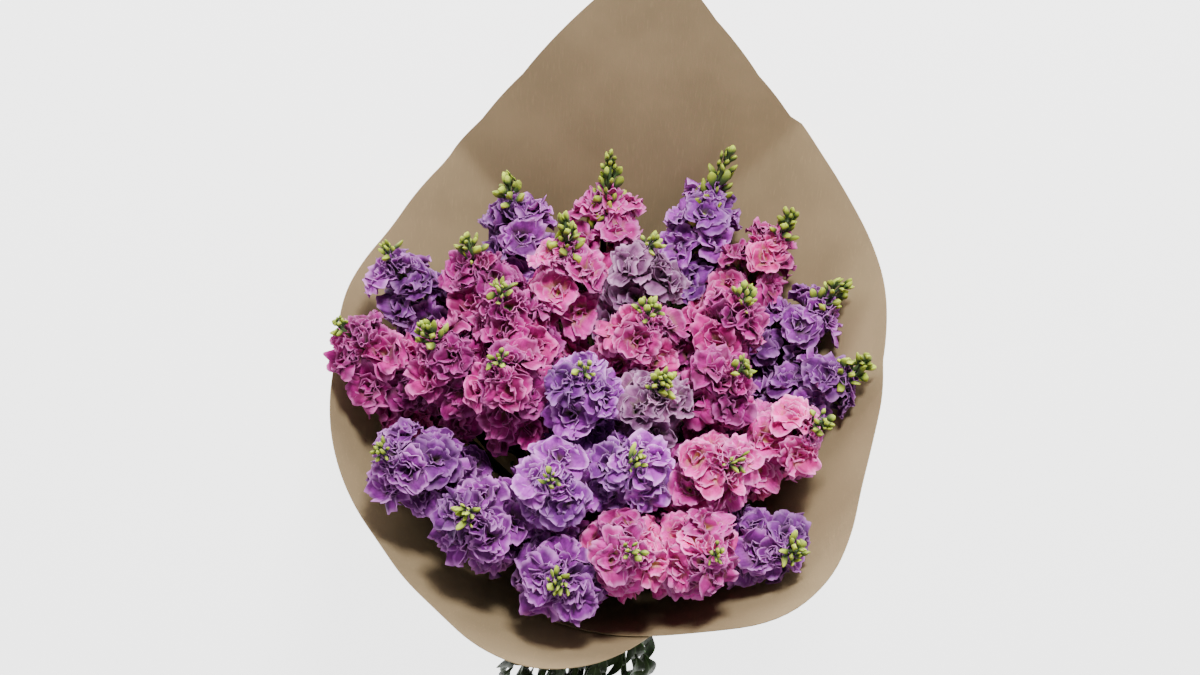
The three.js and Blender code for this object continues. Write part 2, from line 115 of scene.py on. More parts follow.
PAPER_NECK, NECK_EASE, CONE_START, CONE_SLOPE = 31.2, 20, 28, 0.64
FLARE, LIP_HEIGHT, FLARE_POWER = 48, 188, 1.2  # the front lip flares out beyond the cone
SKIRT_SLOPE, SKIRT_HEIGHT = 0.09, 52  # the sheet's free end below the tie
LAYER_OFFSET, LAYER_FROM, LAYER_TO = 2.3, -145, -175  # the left flap lies outside the right one
FIRST_ANGLE, LAST_ANGLE = -215, 185  # turned from the back (0) over the right (90)
PAPER_SPACE, GROUND_GAP = 1.05, 0.8  # the sheet's own room on the ground, and the gap above it
# Height of the sheet's upper edge, by angle: left flap, tall back corner, right flap.
PAPER_EDGE = (
    (-215, 122), (-195, 158), (-185, 178), (-175, 188), (-165, 183), (-155, 172), (-135, 168),
    (-115, 180), (-95, 193), (-75, 205), (-55, 208), (-35, 227), (-25, 252), (-15, 286), (5, 374),
    (15, 331), (25, 296), (35, 269), (45, 257), (55, 249), (75, 240), (95, 223), (105, 209),
    (115, 202), (135, 206), (145, 199), (155, 172), (165, 158), (175, 147), (185, 134),
)  # fmt: skip
TALL_CORNER, STRAIGHT_BESIDE, CORNER_EASE, CORNER_REACH = 5, 25, 24, 4
TIE_HEIGHT, TWINE_RADIUS, GATHER = -8, 1.6, 3.4  # the pleats are this deep under the twine

# How points are drawn in towards their stem.
FARTHEST, WALL_START, WALL_ROUNDS = 400.0, 90.0, 6
LEAN_OVER, LEAN_EASE, LEAN_FROM = 20, 26, 2  # florets lean out over the paper's edge
BELOW_SKIRT = 8  # leaves this far below the paper are free of it
LEAST_ROOM, SIDEWAYS = 0.5, 0.01

SLOPES = np.array([(x / height, y / height) for x, y, height, _, _ in SPIKES])
TIPS = np.array([row[:3] for row in SPIKES], float)


def smooth(share):
    """A soft step from 0 to 1, held at both ends."""
    share = np.clip(share, 0, 1)
    return share * share * (3 - 2 * share)


def turned(points):
    """Turns points of the upright bunch so that it lies on its back."""
    x, y, z = np.moveaxis(np.asarray(points, float), -1, 0)
    sine, cosine = math.sin(TILT), math.cos(TILT)
    return np.stack([-x, -y * sine - z * cosine, -y * cosine + z * sine], -1)


TIE_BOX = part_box("neck_tie")
SHIFT = np.array((TIE_BOX[0] + TIE_BOX[1]) / 2) - turned((0, 0, TIE_HEIGHT)) / 1000


def lay(points):
    """Takes points from the upright bunch, in millimetres, to the part's frame, in metres."""
    return turned(points) / 1000 + SHIFT


def ground_at(height):
    """The largest y above the surface that the bunch lies on."""
    return SHIFT[2] * 1000 / math.cos(TILT) + height * math.tan(TILT)


def chance(index, salt):
    """A repeatable number from 0 to 1, the same one as the part's source uses."""
    wave = math.sin(index * 12.9898 + salt * 78.233) * 43758.5453
    return wave - math.floor(wave)


def stem_at(index, height):
    """Where a stem's centre is at each height: x and y."""
    height = np.asarray(height, float)
    bend = WAIST * (1 - np.clip(height / STRAIGHT_ABOVE, 0, 1)) ** 4
    out = np.where(height >= 0, height + bend, WAIST * np.hypot(1, height / FOOT_SPREAD))
    turn = FOOT_TURN * smooth(height / CUT_HEIGHT)
    x, y = SLOPES[index][0] * out, SLOPES[index][1] * out
    return np.stack([x * np.cos(turn) - y * np.sin(turn), x * np.sin(turn) + y * np.cos(turn)], -1)


def stem_points(index, heights):
    """Points along a stem's centre line."""
    heights = np.asarray(heights, float)
    return np.concatenate([stem_at(index, heights), heights[..., None]], -1)


def paper_radius(height, angle):
    """Inner radius of the paper; the angle is turned from the back over the right."""
    height = np.asarray(height, float)
    front = np.maximum(0, -np.cos(angle)) ** FLARE_POWER
    neck = (PAPER_NECK - CONE_START) * np.exp(-np.maximum(height, 0) / NECK_EASE)
    cone = CONE_START + CONE_SLOPE * height + neck + FLARE * front * (height / LIP_HEIGHT) ** 2
    return np.where(height < 0, PAPER_NECK - SKIRT_SLOPE * height, cone)


def paper_layer(angle):
    """How far out the sheet lies at an angle in degrees: its first end covers its last."""
    return LAYER_OFFSET * smooth((angle - LAYER_FROM) / (LAYER_TO - LAYER_FROM))


def paper_edge(angle):
    """Height of the sheet's upper edge at an angle in degrees, eased but at the tall corner."""
    angles, heights = zip(*PAPER_EDGE)
    beside = np.abs(angle - TALL_CORNER) - STRAIGHT_BESIDE
    reach = CORNER_REACH * np.clip(beside / CORNER_EASE, 0, 1)
    parts = [np.interp(angle + share * reach, angles, heights) for share in (-1, -0.5, 0, 0.5, 1)]
    return sum(parts) / len(parts)


def unit(vectors):
    """The same directions, each with a length of 1."""
    return vectors / np.maximum(np.linalg.norm(vectors, axis=-1, keepdims=True), 1e-9)


def confine(index, points, gap, soft, interlock):
    """Draws a spike's points in towards its stem, so that they stay between its neighbours,
    inside the paper and above the ground. They may interlock with the neighbours by a length.
    Points nearer to the stem than the soft share of their room stay where they are."""
    height = points[:, 2]
    centre = stem_at(index, height)
    away = points[:, :2] - centre
    distance = np.linalg.norm(away, axis=1)
    away = unit(away)
    room = np.full(len(points), FARTHEST)
    for other in range(len(SPIKES)):
        if other != index:
            across = stem_at(other, height) - centre
            apart = np.linalg.norm(across, axis=1)
            facing = (away * across).sum(1) / apart
            limit = (apart / 2 + interlock) / np.maximum(facing, SIDEWAYS)
            room = np.where(facing > SIDEWAYS, np.minimum(room, limit), room)
    wall_room = np.full(len(points), WALL_START)
    along = (centre * away).sum(1)
    for _ in range(WALL_ROUNDS):
        place = centre + wall_room[:, None] * away
        angle = np.arctan2(place[:, 0], place[:, 1])
        above_edge = height - paper_edge(np.degrees(angle))
        over = LEAN_OVER * smooth((above_edge - LEAN_FROM) / LEAN_EASE)
        wall = paper_radius(height, angle) - gap + over
        wall_room = np.sqrt(np.maximum(wall**2 - (centre**2).sum(1) + along**2, 0)) - along
    room = np.where(height > -SKIRT_HEIGHT - BELOW_SKIRT, np.minimum(room, wall_room), room)
    ground_room = np.maximum(ground_at(height) - PAPER_SPACE - GROUND_GAP - centre[:, 1], 0)
    limit = ground_room / np.maximum(away[:, 1], SIDEWAYS)
    room = np.where(away[:, 1] > SIDEWAYS, np.minimum(room, limit), room)
    room = np.maximum(room, LEAST_ROOM)
    share = distance / room
    eased = soft + (1 - soft) * (1 - np.exp(-(share - soft) / (1 - soft)))
    kept = room * np.where(share < soft, share, eased)
    moved = centre + away * kept[:, None]
    return np.concatenate([moved, height[:, None]], 1)


def on_spike(index, points):
    """Takes points from a spike's own frame, with its tip at the origin, to the bunch's frame."""
    up = unit(TIPS[index])
    across = unit(np.array([1.0, 0, 0]) - up * up[0])
    along = np.cross(up, across)
    return TIPS[index] + points[:, :1] * across + points[:, 1:2] * along + points[:, 2:] * up


# ---------- meshes
ASKEW = (0.13, 0.97, 0.21)  # a direction that no tube runs in
CALYX_MARK, BUD_MARK = 1.0, 2.0  # what a tube is; petals, leaves and stems have 0


class Shape:
    """Collects closed forms, with numbers along them, into one mesh."""

    def __init__(self):
        self.points, self.faces, self.marks, self.rims, self.count = [], [], [], [], 0

    def add(self, points, faces, marks, rims=None):
        """Adds one form. marks holds a row of along, across, ring and calyx for each point, and
        rims a number above 0 for the points on a sharp rim."""
        self.points.append(points)
        self.faces.extend([corner + self.count for corner in face] for face in faces)
        self.marks.append(marks)
        self.rims.append(np.zeros(len(points), int) if rims is None else rims)
        self.count += len(points)

    def sheet(self, grid, thickness, ring=1.0):
        """Adds a closed sheet of a thickness over a grid of points. Its upper side is the one
        from which the turn from the rows' direction to the columns' is anticlockwise."""
        rows, columns = grid.shape[:2]
        normal = unit(np.cross(np.gradient(grid, axis=0), np.gradient(grid, axis=1)))
        both = np.concatenate([grid + normal * thickness / 2, grid - normal * thickness / 2])
        above = np.arange(rows * columns).reshape(rows, columns)
        below = above + above.size
        faces = []
        for side, order in ((above, (0, 3, 2, 1)), (below, (0, 1, 2, 3))):
            quad = [side[:-1, :-1], side[:-1, 1:], side[1:, 1:], side[1:, :-1]]
            faces.append(np.stack([quad[place] for place in order], -1).reshape(-1, 4))
        loop = np.concatenate([above[0, :-1], above[:-1, -1], above[-1, :0:-1], above[:0:-1, 0]])
        after = np.roll(loop, -1)
        faces.append(np.stack([loop, after, after + above.size, loop + above.size], -1))
        rims = np.zeros(above.size, int)
        rims[loop] = 1
        share = np.linspace(0, 1, rows)[:, None] + np.zeros(columns)
        side = np.linspace(-1, 1, columns)[None, :] + np.zeros((rows, 1))
        marks = np.stack([share, side, share * 0 + ring, share * 0], -1).reshape(-1, 4)
        self.add(both.reshape(-1, 3), np.concatenate(faces).tolist(), np.tile(marks, (2, 1)),
                 np.concatenate([rims, rims * 2]))

    def tube(self, centres, radii, sides, calyx=CALYX_MARK, lobes=0.0, lobe_count=4):
        """Adds a closed tube along a line of centres, whose section may have lobes."""
        centres = np.asarray(centres, float)
        ahead = unit(np.gradient(centres, axis=0))
        side = unit(np.cross(ahead, ASKEW))
        front = np.cross(ahead, side)
        turn = np.arange(sides) * 2 * math.pi / sides
        lobe = 1 + lobes * np.cos(turn * lobe_count)
        reach = np.asarray(radii, float)[:, None] * lobe[None, :]
        rings = (centres[:, None] + (reach * np.cos(turn))[..., None] * side[:, None]
                 + (reach * np.sin(turn))[..., None] * front[:, None])
        count = len(centres)
        index = np.arange(count * sides).reshape(count, sides)
        after = np.roll(index, -1, 1)
        faces = np.stack([index[:-1], after[:-1], after[1:], index[1:]], -1).reshape(-1, 4)
        faces = faces.tolist() + [index[0, ::-1].tolist(), index[-1].tolist()]
        share = np.repeat(np.linspace(0, 1, count), sides)
        across = np.tile(np.cos(turn), count)
        marks = np.stack([share, across, share * 0, share * 0 + calyx], -1)
        self.add(rings.reshape(-1, 3), faces, marks)

    def mesh(self, name, move=None):
        """One mesh of all that was added, with its points moved by a function if one is given."""
        points = np.concatenate(self.points)
        mesh = bpy.data.meshes.new(name)
        mesh.from_pydata((move(points) if move else points).tolist(), [], self.faces)
        marks = np.concatenate(self.marks)
        for column, title in enumerate(("along", "across", "ring", "calyx")):
            layer = mesh.attributes.new(title, "FLOAT", "POINT")
            layer.data.foreach_set("value", marks[:, column].astype(np.float32))
        rims = np.concatenate(self.rims)
        edges = np.empty(len(mesh.edges) * 2, int)
        mesh.edges.foreach_get("vertices", edges)
        ends = rims[edges.reshape(-1, 2)]
        sharp = mesh.attributes.new("sharp_edge", "BOOLEAN", "EDGE")
        sharp.data.foreach_set("value", (ends[:, 0] > 0) & (ends[:, 0] == ends[:, 1]))
        mesh.polygons.foreach_set("use_smooth", np.ones(len(mesh.polygons), bool))
        mesh.update()
        return mesh


def show(name, mesh, material, slot, *nodes):
    """Makes a finished piece of the object from a mesh that is already in the part's frame."""
    mesh.name = name
    mesh.materials.clear()
    mesh.materials.append(material)
    piece = bpy.data.objects.new(name, mesh)
    bpy.context.scene.collection.objects.link(piece)
    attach(piece, "root")
    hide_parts(*nodes)
    return piece


def joined(mesh, other):
    """Adds a second mesh to the first, with its attributes."""
    objects = [bpy.data.objects.new("part", each) for each in (mesh, other)]
    for each in objects:
        bpy.context.scene.collection.objects.link(each)
    with bpy.context.temp_override(active_object=objects[0], object=objects[0],
                                   selected_objects=objects, selected_editable_objects=objects):
        bpy.ops.object.join()
    bpy.data.objects.remove(objects[0])
    return mesh


# ---------- node helpers
def fill(tree, made, values):
    """Gives a node values or sockets for its inputs."""
    for socket, value in values.items():
        if isinstance(value, bpy.types.NodeSocket):
            tree.links.new(value, made.inputs[socket])
        else:
            made.inputs[socket].default_value = value
    return made


def node(tree, kind, values=None, **settings):
    """Adds a node, with values or sockets for its inputs."""
    made = tree.nodes.new(kind)
    for key, value in settings.items():
        setattr(made, key, value)
    return fill(tree, made, values or {})


def maths(tree, operation, first, second=0.0, third=0.0):
    """The result of a sum, product or the like on up to three numbers."""
    values = {0: first, 1: second, 2: third}
    return node(tree, "ShaderNodeMath", values, operation=operation).outputs[0]


def times(tree, first, second):
    """The product of two numbers."""
    return maths(tree, "MULTIPLY", first, second)


def vector_maths(tree, operation, values):
    """The result of such an operation on vectors."""
    return node(tree, "ShaderNodeVectorMath", values, operation=operation).outputs[0]


def ramp(tree, value, low, high, to_low=0.0, to_high=1.0):
    """A smooth step of a value between two limits."""
    values = {"Value": value, "From Min": low, "From Max": high, "To Min": to_low,
              "To Max": to_high}
    made = node(tree, "ShaderNodeMapRange", values, interpolation_type="SMOOTHSTEP")
    return made.outputs[0]


def blended(tree, share, first, second):
    """The first colour, going over into the second as the share goes from 0 to 1."""
    made = node(tree, "ShaderNodeMix", {0: share, 6: first, 7: second}, data_type="RGBA")
    return made.outputs[2]


def attribute(tree, name):
    """A number that the mesh carries."""
    return node(tree, "ShaderNodeAttribute", attribute_name=name).outputs["Fac"]


def noise(tree, scale, detail=3.0, stretch=(1, 1, 1), roughness=0.55):
    """Noise on Object coordinates, its scale in features per metre."""
    place = node(tree, "ShaderNodeTexCoord").outputs["Object"]
    mapped = node(tree, "ShaderNodeMapping", {"Vector": place, "Scale": stretch}).outputs[0]
    made = node(tree, "ShaderNodeTexNoise", {"Vector": mapped, "Scale": scale, "Detail": detail,
                                             "Roughness": roughness})
    return made.outputs["Fac"]


def finished(tree, shader, colour, grain, strength, depth, values):
    """Gives a shader its colour, a bump of a depth in metres from a grain, and other values."""
    bump = node(tree, "ShaderNodeBump", {"Height": grain, "Strength": strength, "Distance": depth})
    fill(tree, shader, {"Base Color": colour, "Normal": bump.outputs[0], **values})


def group_tree(name, **inputs):
    """An empty tree of geometry nodes with the named inputs of each kind, and their sockets."""
    tree = bpy.data.node_groups.new(name, "GeometryNodeTree")
    tree.is_modifier = True
    for kind, titles in {"Geometry": ("Geometry",), **inputs}.items():
        for title in titles:
            tree.interface.new_socket(title, in_out="INPUT", socket_type=f"NodeSocket{kind}")
    tree.interface.new_socket("Geometry", in_out="OUTPUT", socket_type="NodeSocketGeometry")
    return tree, node(tree, "NodeGroupInput").outputs


def plain_mesh(carrier, tree, sets):
    """The plain mesh that an object gives with a tree on it, once for each set of inputs."""
    bpy.context.scene.collection.objects.link(carrier)
    sockets = {item.name: item.identifier for item in tree.interface.items_tree
               if item.in_out == "INPUT"}
    for values in sets:
        modifier = carrier.modifiers.new(tree.name, "NODES")
        modifier.node_group = tree
        for name, value in values.items():
            modifier[sockets[name]] = value
    graph = bpy.context.evaluated_depsgraph_get()
    mesh = bpy.data.meshes.new_from_object(carrier.evaluated_get(graph), depsgraph=graph)
    carrier.modifiers.clear()
    bpy.data.objects.remove(carrier)
    return mesh


def new_material(name):
    """A material, its node tree and its shader."""
    material = bpy.data.materials.new(name)
    material.use_nodes = True
    tree = material.node_tree
    return material, tree, tree.nodes["Principled BSDF"]


def shade(colour, factor, lift=0.0):
    """A darker or paler shade of a colour."""
    return tuple(min(1, factor * channel + lift) for channel in colour[:3]) + (1,)


def linear(red, green, blue, alpha=1.0):
    """A colour given as 0 to 255 in each channel, as the shaders want it."""
    shares = [channel / 255 for channel in (red, green, blue)]
    straight = [c / 12.92 if c < 0.04045 else ((c + 0.055) / 1.055) ** 2.4 for c in shares]
    return (*straight, alpha)


# ---------- what a user may change
def whole(name, text, default, low, high):
    """A setting that is a whole number."""
    return IntProperty(name=name, description=text, default=default, min=low, max=high)


def measure(name, default, low, high, text="Millimetres"):
    """A setting that is a length, or another number."""
    return FloatProperty(name=name, description=text, default=default, min=low, max=high)


def tone(name, text, default):
    """A setting that is a colour."""
    return FloatVectorProperty(name=name, description=text, subtype="COLOR", size=4, min=0, max=1,
                               default=default)


class BouquetFlorets(bpy.types.PropertyGroup):
    """The open florets."""

    count: whole("Count", "Open florets on a spike", 13, 3, 18)
    radius: measure("Scale", 0.94, 0.6, 1.4, "Size of the lowest florets, as a share of 38 mm")
    step: measure("Step", 5.6, 4, 14, "Millimetres along the spike between florets")
    petal: measure("Petal thickness", 0.3, 0.1, 1)


class BouquetGreens(bpy.types.PropertyGroup):
    """Stems, leaves and buds."""

    buds: whole("Buds", "Closed buds that a long bare tip has more of", 14, 3, 24)
    leaf_length: measure("Leaf length", 60, 20, 90)
    leaf_width: measure("Leaf width", 13, 5, 25)
    leaf: tone("Leaf", "Colour of the leaves", linear(66, 90, 40))
    bud: tone("Bud", "Colour of the bud tips", linear(176, 192, 52))


class BouquetWrap(bpy.types.PropertyGroup):
    """The wrapping paper."""

    thickness: measure("Thickness", 0.55, 0.2, 1)
    pleats: whole("Pleats", "Gathers round the neck", 23, 5, 60)
    paper: tone("Paper", "Colour of the paper", linear(148, 128, 96))


class BouquetTie(bpy.types.PropertyGroup):
    """The twine round the neck."""

    turns: whole("Turns", "Turns of twine", 3, 1, 6)
    lay_length: measure("Twist", 7, 3, 20, "Millimetres for one turn of its strands")
    twine: tone("Twine", "Colour of the jute", linear(181, 154, 107))


class BouquetStage(bpy.types.PropertyGroup):
    """Floor, lights and camera."""

    light: measure("Light", 1.0, 0, 4, "Strength of the lights")
    floor: tone("Floor", "Colour of the floor", (0.86, 0.86, 0.85, 1))


# ---------- florets
# Rings of petals, from the outside in: how many, length, width, how far they open, in degrees,
# how much they cup, how strongly they ruffle, and the rows and columns of their mesh.
OPEN_RINGS = (
    (5, 23.0, 17.5, 106, -0.06, 0.15, 5, 8),
    (5, 21.5, 16.0, 80, 0.0, 0.19, 5, 8),
    (4, 17.5, 13.0, 52, 0.10, 0.22, 4, 6),
    (3, 14.5, 9.5, 28, 0.20, 0.22, 3, 4),
)
HALF_OPEN_RINGS = (
    (4, 17.0, 12.5, 48, 0.10, 0.14, 4, 6),
    (3, 14.5, 9.0, 22, 0.22, 0.16, 3, 4),
)
CLOSED_RINGS = (
    (3, 13.0, 8.5, 12, 0.30, 0.06, 4, 4),
)
PETAL_BASE = -10.0  # where the petals start, below the floret's face
CLAW, WIDEST_AT = 0.2, 0.6  # a petal's width at its root, and how far out it is widest
ROUNDING, NOTCH, NOTCH_WIDTH = 0.15, 0.075, 0.24  # how far the sides and the middle stay back
WALL_OF_STALK, STALK_STEP = 1.7, 0.35  # where the outer ring starts, and each next further in
STALK = ((-20, 1.0), (-16, 1.1), (-14, 1.6), (-12, 2.6), (-9.5, 2.8), (-8, 1.6))  # height, radius


def petal(draw, rows, columns, length, width, opening, cup, ruffle, heading, start):
    """A grid of points over one ruffled petal of a floret that faces up."""
    roll = draw.uniform(-0.4, 0.4)
    share, side = np.meshgrid(np.linspace(0, 1, rows + 1), np.linspace(-1, 1, columns + 1),
                              indexing="ij")
    blade = np.sqrt(np.clip(1 - (np.clip(share - WIDEST_AT, 0, 1) / WIDEST_AT) ** 2, 0, 1))
    half = width / 2 * (CLAW + (1 - CLAW) * smooth(share / WIDEST_AT)) * blade
    lean = math.radians(draw.uniform(3, 9))
    angle = lean + math.radians(opening) * smooth(share[:, :1] * 1.2)
    middle = (angle[1:] + angle[:-1]) / 2
    step = length / rows
    radial = start + np.concatenate([[[0]], np.cumsum(np.sin(middle), 0) * step])
    height = PETAL_BASE + np.concatenate([[[0]], np.cumsum(np.cos(middle), 0) * step])
    notch = NOTCH * np.exp(-((side / NOTCH_WIDTH) ** 2))
    back = length * share**3 * (ROUNDING * side**2 + notch)
    waves, phase, other = draw.uniform(1.4, 2.4), draw.uniform(0, 6.3), draw.uniform(0, 6.3)
    bulge = width * (
        cup * side**2 * share
        + ruffle * share**1.5 * (0.3 + 0.7 * np.abs(side)) * np.sin(math.pi * waves * side + phase)
        + 0.45 * ruffle * share**2 * np.sin(other + 7 * share + 3.3 * side)
    )
    bulge = bulge + half * side * math.sin(roll) * smooth(share * 1.5)
    out = radial - np.sin(angle) * back - np.cos(angle) * bulge
    up = height - np.cos(angle) * back + np.sin(angle) * bulge
    across = half * side * math.cos(roll)
    cosine, sine = math.cos(heading), math.sin(heading)
    return np.stack([out * cosine - across * sine, out * sine + across * cosine, up], -1)


def floret_mesh(name, seed, rings, thickness):
    """A double floret that faces up, on its calyx and stalk."""
    draw = np.random.default_rng(seed)
    shape = Shape()
    for place, ring in enumerate(rings):
        count, length, width, opening, cup, ruffle, rows, columns = ring
        offset = draw.uniform(0, 6.3)
        for number in range(count):
            heading = offset + 2 * math.pi * number / count + draw.uniform(-0.45, 0.45)
            size = draw.uniform(0.76, 1.1)
            grid = petal(draw, rows, columns, length * size, width * draw.uniform(0.9, 1.1),
                         opening + draw.uniform(-34, 16), cup + draw.uniform(-0.04, 0.05),
                         ruffle * draw.uniform(0.8, 1.25), heading,
                         WALL_OF_STALK - STALK_STEP * place)
            shape.sheet(grid, thickness, 1 - place / len(rings))
    centres = [(0, 0, height) for height, _ in STALK]
    shape.tube(centres, [radius for _, radius in STALK], 8, lobes=0.12)
    return shape.mesh(name)


CRUMPLES, SHORTEST, LONGEST = 6, 9, 24  # how many waves, and their lengths
CRUMPLE_REACH, CRUMPLE_EASE = 1.5, 1.7  # how far they shift a point, all in all


def crumple(points, seed):
    """Shifts points by soft waves, so that no two florets are alike."""
    draw = np.random.default_rng(seed)
    shift = np.zeros_like(points)
    for _ in range(CRUMPLES):
        wave = unit(draw.normal(size=3)) * 2 * math.pi / draw.uniform(SHORTEST, LONGEST)
        shift += unit(draw.normal(size=3)) * np.sin(points @ wave + draw.uniform(0, 6.3))[:, None]
    return points + shift * CRUMPLE_REACH / CRUMPLE_EASE


def settle(mesh, index, seed, limits):
    """Takes a spike's mesh to the bunch: crumpled, and drawn in between its neighbours."""
    points = np.empty(len(mesh.vertices) * 3)
    mesh.vertices.foreach_get("co", points)
    points = crumple(on_spike(index, points.reshape(-1, 3)), seed)
    mesh.vertices.foreach_set("co", lay(confine(index, points, *limits)).ravel())
    mesh.update()


# Each thing on a spike differs by these shares in how far out it is and, in radians, how it faces.
LEAST_OUT, MOST_OUT, LEAST_TURNED, MOST_TURNED = 0.86, 1.12, -0.32, 0.3


# Inputs of a spiral: how far below the tip the first thing is, the step down to the next and, at
# the top and at the side, how far out they are, how they face (0 is up) and their scale.
ALONG_SPIRAL = ("First", "Step", "Top Out", "Side Out", "Top Facing", "Side Facing", "Top Scale",
                "Side Scale")


def spiral_tree():
    """Geometry nodes that set instances in a spiral down a spike, whose tip is the origin."""
    tree, given = group_tree(
        "Spiral on a spike", Collection=("Things",), Material=("Material",),
        Int=("Kinds", "Count", "Seed"), Float=("Start", "Variation", *ALONG_SPIRAL))

    def between(share, low, high):
        return node(tree, "ShaderNodeMix", {0: share, 2: given[low], 3: given[high]}).outputs[0]

    def scaled(vector, factor):
        return vector_maths(tree, "SCALE", {0: vector, "Scale": factor})

    def added(first, second):
        return vector_maths(tree, "ADD", {0: first, 1: second})

    def upright(height):
        return node(tree, "ShaderNodeCombineXYZ", {2: height}).outputs[0]

    def drawn(low, high, salt, kind="FLOAT"):
        """A random value for each instance; its salt keeps it apart from the others."""
        seed = maths(tree, "MULTIPLY_ADD", given["Seed"], 7.0, float(salt))
        first, result = (4, 2) if kind == "INT" else (2, 1)
        values = {first: low, first + 1: high, "Seed": seed}
        return node(tree, "FunctionNodeRandomValue", values, data_type=kind).outputs[result]

    index = node(tree, "GeometryNodeInputIndex").outputs[0]
    last = maths(tree, "MAXIMUM", maths(tree, "SUBTRACT", given["Count"], 1.0), 1.0)
    age = maths(tree, "DIVIDE", index, last)
    grown = maths(tree, "SQRT", age)
    angle = maths(tree, "MULTIPLY_ADD", index, GOLDEN, given["Start"])
    cosine, sine = maths(tree, "COSINE", angle), maths(tree, "SINE", angle)
    out = node(tree, "ShaderNodeCombineXYZ", {0: cosine, 1: sine}).outputs[0]

    down = maths(tree, "MULTIPLY_ADD", index, given["Step"], given["First"])
    depth = upright(times(tree, down, -1.0))
    reach = times(tree, between(grown, "Top Out", "Side Out"), drawn(LEAST_OUT, MOST_OUT, 6))
    place = added(scaled(out, reach), depth)
    facing = maths(tree, "ADD", between(age, "Top Facing", "Side Facing"),
                   drawn(LEAST_TURNED, MOST_TURNED, 1))
    normal = added(scaled(out, maths(tree, "SINE", facing)), upright(maths(tree, "COSINE", facing)))
    points = node(tree, "GeometryNodeMeshLine", {"Count": given["Count"]}).outputs[0]
    points = node(tree, "GeometryNodeSetPosition",
                  {"Geometry": points, "Position": place}).outputs[0]
    aligned = node(tree, "FunctionNodeAlignRotationToVector", {"Vector": normal}, axis="Z")
    spin = node(tree, "FunctionNodeAxisAngleToRotation",
                {"Axis": (0, 0, 1), "Angle": drawn(0.0, 6.28, 2)})
    rotation = node(tree, "FunctionNodeRotateRotation",
                    {"Rotation": aligned.outputs[0], "Rotate By": spin.outputs[0]},
                    rotation_space="LOCAL").outputs[0]
    wide = times(tree, drawn(-1.0, 1.0, 3), given["Variation"])
    size = times(tree, between(grown, "Top Scale", "Side Scale"), maths(tree, "ADD", 1.0, wide))
    things = node(tree, "GeometryNodeCollectionInfo",
                  {"Collection": given["Things"], "Separate Children": True,
                   "Reset Children": True}).outputs[0]
    kinds = maths(tree, "SUBTRACT", given["Kinds"], 1.0)
    placed = node(tree, "GeometryNodeInstanceOnPoints",
                  {"Points": points, "Instance": things, "Pick Instance": True,
                   "Instance Index": drawn(0, kinds, 4, "INT"), "Rotation": rotation,
                   "Scale": size}).outputs[0]
    tinted = node(tree, "GeometryNodeStoreNamedAttribute",
                  {"Geometry": placed, "Name": "tint", "Value": drawn(0.0, 1.0, 5)},
                  data_type="FLOAT", domain="INSTANCE").outputs[0]
    real = node(tree, "GeometryNodeRealizeInstances", {0: tinted}).outputs[0]
    painted = node(tree, "GeometryNodeSetMaterial",
                   {"Geometry": real, "Material": given["Material"]})
    both = node(tree, "GeometryNodeJoinGeometry")
    tree.links.new(given["Geometry"], both.inputs[0])
    tree.links.new(painted.outputs[0], both.inputs[0])
    node(tree, "NodeGroupOutput", {0: both.outputs[0]})
    return tree


def spiral_mesh(tree, common, *rows):
    """The plain mesh of one or more spirals. Each row holds the things, how many, a seed and what
    ALONG_SPIRAL names."""
    carrier = bpy.data.objects.new("carrier", bpy.data.meshes.new("carrier"))
    return plain_mesh(carrier, tree, [
        {"Things": things, "Kinds": len(things.objects), "Count": count, "Seed": seed,
         **dict(zip(ALONG_SPIRAL, along)), **common} for things, count, seed, *along in rows])


def variants(title, meshes):
    """An unlinked collection of the forms that a spiral chooses from."""
    collection = bpy.data.collections.new(title)
    for mesh in meshes:
        collection.objects.link(bpy.data.objects.new(mesh.name, mesh))
    return collection


# Body, shadow, edge and heart colours of the petals, and how far the heart colour shows. The shadow
# colour is the petals' deep tone in the mottling and veins, and is also painted shade towards their
# bases; the edge colour is their paler rim, and is also a painted highlight.
PETAL_COLOURS = {
    "violet": ((140, 43, 152), (50, 0, 62), (212, 140, 219), (188, 172, 130), 0.3),
    "lilac": ((170, 62, 186), (74, 4, 92), (226, 158, 236), (198, 186, 140), 0.4),
    "grey_lilac": ((166, 100, 152), (70, 26, 64), (220, 170, 212), (190, 186, 140), 0.6),
    "magenta": ((186, 14, 136), (80, 0, 42), (236, 118, 198), (206, 160, 124), 0.35),
    "rose": ((214, 40, 150), (108, 0, 58), (248, 136, 208), (222, 188, 132), 0.7),
    "pink": ((241, 64, 184), (150, 4, 92), (255, 156, 224), (236, 208, 140), 0.9),
}
CALYX = linear(74, 92, 36)
MOTTLING, DOWN, GLOSS = 95, 900, 300  # scales of the petals' noises, in features per metre
VEINS, VEIN_SLANT = 26.0, 2.0  # radians of the veins' waves across and along a petal
TINT_RANGE, LEAST_TINT, HUE_RANGE, LEAST_HUE = 0.58, 0.53, 0.026, 0.487


